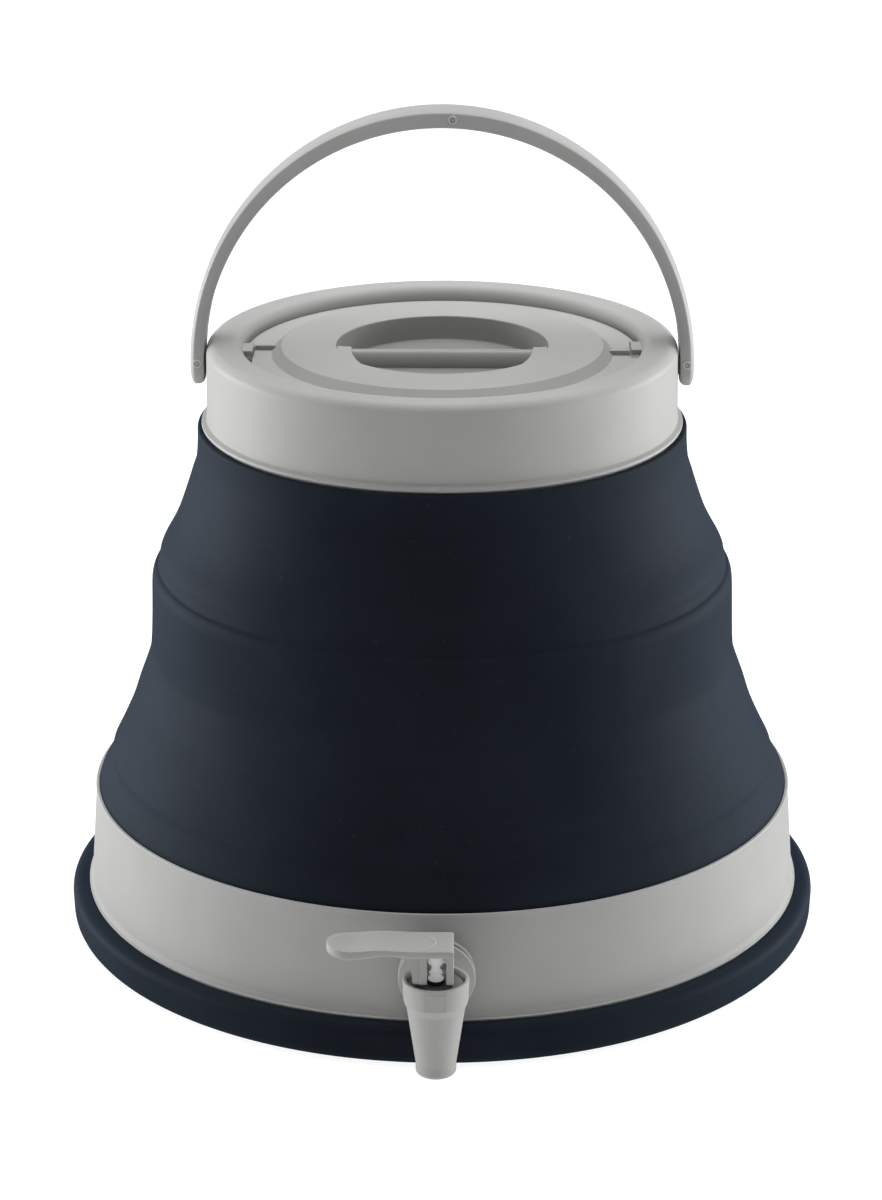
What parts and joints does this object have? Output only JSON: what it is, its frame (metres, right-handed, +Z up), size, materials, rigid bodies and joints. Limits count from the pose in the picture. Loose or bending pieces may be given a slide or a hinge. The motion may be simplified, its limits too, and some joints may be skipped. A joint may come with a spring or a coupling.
{
  "type": "collapsible water carrier",
  "caption": "Round folding water tank with a stepped flexible wall, rigid base and collar, twist-off lid with grip bar, bail handle and push-lever tap.",
  "frame": {"origin": "on the floor under the centre of the tank, in the plane that the rubber foot stands on", "axes": "+Z up along the tank's axis; the tap points along -Y; the handle's pivots lie along X, and the lever's paddle points along -X"},
  "size_m": [0.33, 0.3584, 0.3616],
  "materials": {
    "grey_plastic": "fine satin, light grey",
    "handle_grey": "satin, mid grey",
    "blue_rubber": "smooth flexible elastomer, dark blue",
    "pale_plastic": "smooth, whitish",
    "seal_rubber": "matt",
    "spring_steel": "bright drawn wire"
  },
  "bodies": {
    "base": {"rubber_foot": "blue_rubber", "base_pan": "grey_plastic", "lower_band": "grey_plastic", "wall_base_hem": "blue_rubber", "wall_lower_fold": "blue_rubber", "tap_body": "grey_plastic", "tap_outer_seal": "seal_rubber", "tap_inner_seal": "seal_rubber", "tap_nut": "grey_plastic", "tap_bonnet": "grey_plastic", "valve_spring": "spring_steel"},
    "middle": {"wall_middle_tier": "blue_rubber", "wall_upper_fold": "blue_rubber"},
    "collar": {"collar": "grey_plastic", "wall_collar_hem": "blue_rubber", "wall_clamp_ring": "grey_plastic", "handle_pin_left": "handle_grey", "handle_pin_right": "handle_grey"},
    "handle": {"handle": "handle_grey"},
    "gasket": {"lid_gasket": "seal_rubber"},
    "lid": {"lid_cover": "grey_plastic", "lid_base_plate": "grey_plastic"},
    "lever_seat": {"lever_seat_washer": "seal_rubber"},
    "lever": {"tap_lever": "grey_plastic"},
    "valve": {"valve_stem": "pale_plastic", "valve_plug": "seal_rubber"}
  },
  "joints": [
    {"name": "collapse_lower", "type": "slide", "parent": "base", "child": "middle", "axis": [0, 0, 1], "range_m": [-0.076, 0], "deforming": ["wall_lower_fold"]},
    {"name": "collapse_upper", "type": "slide", "parent": "middle", "child": "collar", "axis": [0, 0, 1], "range_m": [-0.08, 0], "deforming": ["wall_upper_fold"]},
    {"name": "handle_swing", "type": "hinge", "parent": "collar", "child": "handle", "pos_m": [0, 0, 0.2507], "axis": [1, 0, 0], "range_deg": [-97, 97]},
    {"name": "lid_lift", "type": "slide", "parent": "collar", "child": "gasket", "axis": [0, 0, 1], "range_m": [0, 0.05]},
    {"name": "lid_turn", "type": "hinge", "parent": "gasket", "child": "lid", "pos_m": [0, 0, 0.2535], "axis": [0, 0, 1], "range_deg": [-30, 0]},
    {"name": "lever_swivel", "type": "hinge", "parent": "base", "child": "lever_seat", "pos_m": [0, -0.18, 0.0449], "axis": [0, 0, 1], "range_deg": [0, 180]},
    {"name": "lever_press", "type": "hinge", "parent": "lever_seat", "child": "lever", "pos_m": [-0.0089, -0.18, 0.0526], "axis": [0, -1, 0], "range_deg": [0, 12], "stiffness_Nm_per_rad": 0.4, "springref_deg": -8.59},
    {"name": "stem_lift", "type": "slide", "parent": "base", "child": "valve", "axis": [0, 0, 1], "range_m": [0, 0.002], "deforming": ["valve_spring"]}
  ],
  "couplings": [
    {"joint": "stem_lift", "follows": "lever_press", "m_per_rad": 0.00885}
  ]
}
